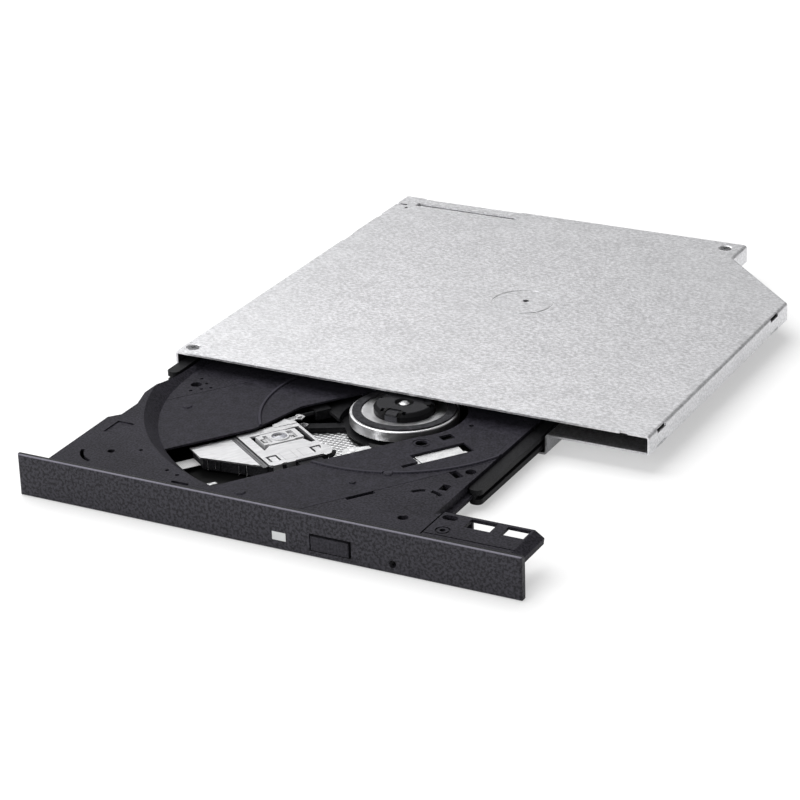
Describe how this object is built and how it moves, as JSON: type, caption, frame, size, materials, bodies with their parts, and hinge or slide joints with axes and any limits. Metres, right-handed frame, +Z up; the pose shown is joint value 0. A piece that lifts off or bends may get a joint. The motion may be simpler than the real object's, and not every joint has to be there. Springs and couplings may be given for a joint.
{
  "type": "internal dvd drive",
  "caption": "Slim internal disc drive with a steel case and its tray half out: turntable with sprung claws, sliding laser pickup in a slot, front bezel with button.",
  "frame": {"origin": "centre of the steel case's underside, without the front bezel", "axes": "+Z up out of the lid, -Y out of the front where the tray comes out, +X to the wing side"},
  "size_m": [0.128, 0.1953, 0.0104],
  "materials": {
    "lid_steel": "zinc-coated sheet, satin",
    "pan_steel": "zinc-coated sheet, satin",
    "screw_steel": "satin",
    "rail_plastic": "smooth matte",
    "board_green": "lacquered board",
    "chip_black": "matte",
    "plug_cream": "matte",
    "connector_black": "matte",
    "contact_gold": "plated",
    "ribbon_white": "smooth film",
    "ribbon_pale": "smooth film",
    "tray_black": "fine matte grain",
    "plate_black": "fine matte grain",
    "bright_sheet": "embossed, bright",
    "frame_steel": "satin",
    "damper_rubber": "matte",
    "shaft_steel": "ground",
    "motor_silver": "nickel-plated",
    "magnet_dark": "dark grey",
    "cup_silver": "smooth bright",
    "pad_rubber": "matte",
    "hub_dark": "matte",
    "pickup_metal": "cast, matte",
    "pickup_white": "satin",
    "nut_white": "smooth",
    "holder_black": "matte",
    "lens_glass": "coated",
    "latch_white": "smooth",
    "spring_steel": "bright",
    "yoke_steel": "satin",
    "coil_copper": "enamelled wire",
    "bezel_charcoal": "coarse matte grain",
    "window_grey": "translucent",
    "lamp_clear": "clear",
    "switch_black": "matte"
  },
  "bodies": {
    "case": {"top_cover": "lid_steel", "bottom_case": "pan_steel", "cover_screws": "screw_steel", "pressed_inserts": "screw_steel", "left_guide": "rail_plastic", "right_guide": "rail_plastic", "guide_screws": "screw_steel", "main_board": "board_green", "board_chips": "chip_black", "board_plug": "plug_cream", "board_screws": "screw_steel", "sata_connector": "connector_black", "connector_contacts": "contact_gold", "connector_shield": "bright_sheet", "ribbon_fixed": "ribbon_white", "ribbon_loop": "ribbon_white"},
    "left_rail": {"left_rail": "rail_plastic"},
    "right_rail": {"right_rail": "rail_plastic"},
    "tray": {"tray": "tray_black", "tray_cover": "bright_sheet", "tray_cover_screws": "screw_steel", "traverse_cover": "plate_black", "cover_studs": "plate_black", "traverse_base": "frame_steel", "traverse_dampers": "damper_rubber", "damper_screws": "screw_steel", "main_shaft": "shaft_steel", "sub_shaft": "shaft_steel", "sled_motor": "motor_silver", "motor_plate": "frame_steel", "motor_screws": "screw_steel", "stator": "coil_copper", "lever_spring": "spring_steel", "solenoid_yoke": "yoke_steel", "solenoid_coil": "coil_copper", "bezel": "bezel_charcoal", "led_window": "window_grey", "front_board": "board_green", "eject_switch": "switch_black", "led_lamp": "lamp_clear"},
    "spindle": {"rotor_cup": "cup_silver", "rotor_magnet": "magnet_dark", "turntable_pad": "pad_rubber", "clamp_hub": "hub_dark", "hub_claws": "hub_dark", "spindle_shaft": "shaft_steel"},
    "lead_screw": {"lead_screw": "shaft_steel"},
    "pickup": {"pickup_base": "pickup_metal", "pickup_cover": "pickup_white", "pickup_tail": "pickup_white", "pickup_nut": "nut_white", "actuator_yoke": "yoke_steel", "pickup_ribbon": "ribbon_pale"},
    "lens_holder": {"lens_holder": "holder_black", "objective_lens": "lens_glass"},
    "eject_button": {"eject_button": "bezel_charcoal", "switch_plunger": "nut_white"},
    "lock_lever": {"lock_lever": "latch_white"},
    "solenoid_plunger": {"solenoid_plunger": "shaft_steel"},
    "push_rod": {"push_rod": "latch_white"}
  },
  "joints": [
    {"name": "tray_slide", "type": "slide", "parent": "case", "child": "tray", "axis": [0, -1, 0], "range_m": [-0.0669, 0.0581], "deforming": ["ribbon_loop"]},
    {"name": "left_rail_slide", "type": "slide", "parent": "case", "child": "left_rail", "axis": [0, -1, 0], "range_m": [-0.03345, 0.02905]},
    {"name": "right_rail_slide", "type": "slide", "parent": "case", "child": "right_rail", "axis": [0, -1, 0], "range_m": [-0.03345, 0.02905]},
    {"name": "spindle_spin", "type": "hinge", "parent": "tray", "child": "spindle", "pos_m": [0.0016, -0.06535, 0], "axis": [0, 0, 1], "continuous": true},
    {"name": "pickup_slide", "type": "slide", "parent": "tray", "child": "pickup", "axis": [-0.5807, -0.8141, 0], "range_m": [-0.0072, 0.0266], "deforming": ["pickup_ribbon"]},
    {"name": "lead_screw_spin", "type": "hinge", "parent": "tray", "child": "lead_screw", "pos_m": [0.00734, -0.10138, 0.0031], "axis": [0.5807, 0.8141, 0], "continuous": true},
    {"name": "lens_focus", "type": "slide", "parent": "pickup", "child": "lens_holder", "axis": [0, 0, 1], "range_m": [-0.0005, 0.0005], "stiffness_N_per_m": 60},
    {"name": "eject_button_press", "type": "slide", "parent": "tray", "child": "eject_button", "axis": [0, 1, 0], "range_m": [0, 0.0005], "stiffness_N_per_m": 400},
    {"name": "lock_lever_turn", "type": "hinge", "parent": "tray", "child": "lock_lever", "pos_m": [0.0273, -0.10655, 0.0026], "axis": [0, 0, 1], "range_deg": [0, 20.5], "deforming": ["lever_spring"]},
    {"name": "solenoid_plunger_slide", "type": "slide", "parent": "tray", "child": "solenoid_plunger", "axis": [0, -1, 0], "range_m": [0, 0.00157], "stiffness_N_per_m": 60},
    {"name": "push_rod_slide", "type": "slide", "parent": "tray", "child": "push_rod", "axis": [0, 1, 0], "range_m": [0, 0.01]}
  ],
  "couplings": [
    {"joint": "left_rail_slide", "follows": "tray_slide", "ratio": 0.5},
    {"joint": "right_rail_slide", "follows": "tray_slide", "ratio": 0.5},
    {"joint": "lead_screw_spin", "follows": "pickup_slide", "rad_per_m": 2094.4},
    {"joint": "lock_lever_turn", "follows": "solenoid_plunger_slide", "rad_per_m": 222.2}
  ]
}
